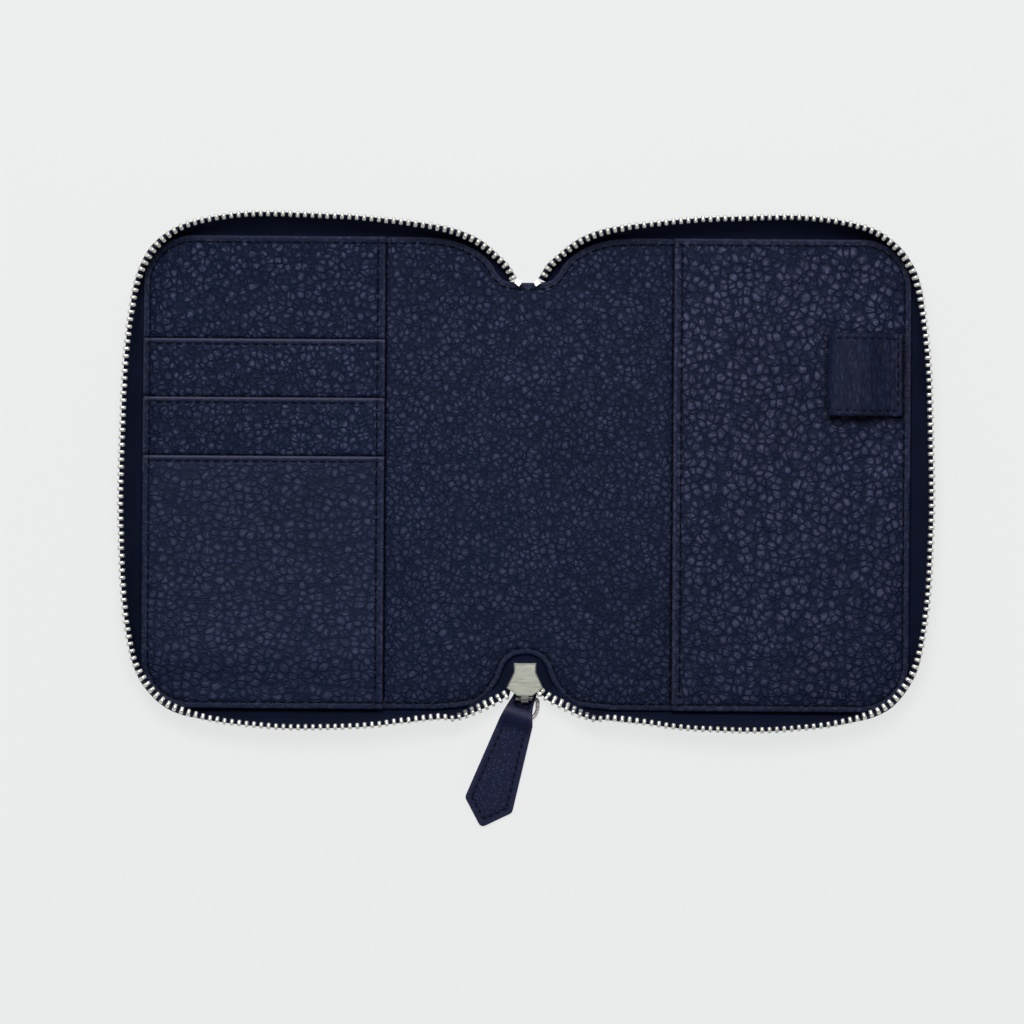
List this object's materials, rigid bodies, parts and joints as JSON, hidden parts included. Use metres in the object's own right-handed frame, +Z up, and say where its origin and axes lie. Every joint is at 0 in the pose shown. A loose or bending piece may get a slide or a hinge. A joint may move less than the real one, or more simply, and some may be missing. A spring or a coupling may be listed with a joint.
{
  "type": "passport holder",
  "caption": "Zip-around leather passport holder lying open, with a passport pocket, card slots, a pen loop and a zip slider with a leather pull tab.",
  "frame": {"origin": "centre of the spine's underside, on the surface the open holder lies on", "axes": "+X to the passport pocket half, +Y to the top edge, away from the zip slider, +Z up out of the open holder"},
  "size_m": [0.2328, 0.1751, 0.0123],
  "materials": {
    "outer_leather": "pebbled",
    "board": "plain",
    "lining_leather": "pebbled",
    "pocket_leather": "pebbled",
    "slot_leather": "soft grain",
    "loop_leather": "pebbled",
    "zip_tape": "fine weave",
    "zip_teeth": "satin nickel",
    "slider_metal": "satin nickel",
    "ring_metal": "polished",
    "tab_leather": "pebbled",
    "thread": "twisted"
  },
  "bodies": {
    "spine": {"spine_outer_leather": "outer_leather", "spine_stiffener": "board", "spine_lining": "lining_leather", "spine_zip_tape": "zip_tape", "spine_zip_teeth": "zip_teeth", "zip_bottom_stop": "zip_teeth", "zip_end_stops": "zip_teeth"},
    "left_cover": {"left_outer_leather": "outer_leather", "left_stiffener": "board", "left_lining": "lining_leather", "left_pocket_panel": "pocket_leather", "card_slot_upper": "slot_leather", "card_slot_middle": "slot_leather", "card_slot_lower": "slot_leather", "left_zip_tape": "zip_tape", "left_zip_teeth": "zip_teeth", "left_bend_tape": "zip_tape", "left_bend_teeth": "zip_teeth"},
    "right_cover": {"right_outer_leather": "outer_leather", "right_stiffener": "board", "right_lining": "lining_leather", "passport_pocket": "pocket_leather", "pen_loop": "loop_leather", "right_zip_tape": "zip_tape", "right_zip_teeth": "zip_teeth", "right_bend_tape": "zip_tape", "right_bend_teeth": "zip_teeth"},
    "zip_slider": {"slider_body": "slider_metal", "slider_bridge": "slider_metal"},
    "ring": {"pull_ring": "ring_metal"},
    "tab": {"pull_tab": "tab_leather", "pull_tab_thread": "thread"}
  },
  "joints": [
    {"name": "left_fold", "type": "hinge", "parent": "spine", "child": "left_cover", "pos_m": [-0.01, 0, 0.0012], "axis": [0, 1, 0], "range_deg": [0, 90], "deforming": ["left_bend_tape", "left_bend_teeth"]},
    {"name": "right_fold", "type": "hinge", "parent": "spine", "child": "right_cover", "pos_m": [0.01, 0, 0.0012], "axis": [0, -1, 0], "range_deg": [0, 90], "deforming": ["right_bend_tape", "right_bend_teeth"]},
    {"name": "zip_slider_travel", "type": "slide", "parent": "spine", "child": "zip_slider", "axis": [0, -1, 0], "range_m": [0, 0.004]},
    {"name": "pull_ring_lift", "type": "hinge", "parent": "zip_slider", "child": "ring", "pos_m": [0, -0.0642, 0.0016], "axis": [-1, 0, 0], "range_deg": [0, 50]},
    {"name": "pull_tab_swing", "type": "hinge", "parent": "ring", "child": "tab", "pos_m": [-0.0002, -0.0642, 0.0016], "axis": [0, 0, -1], "range_deg": [-15, 5]}
  ]
}
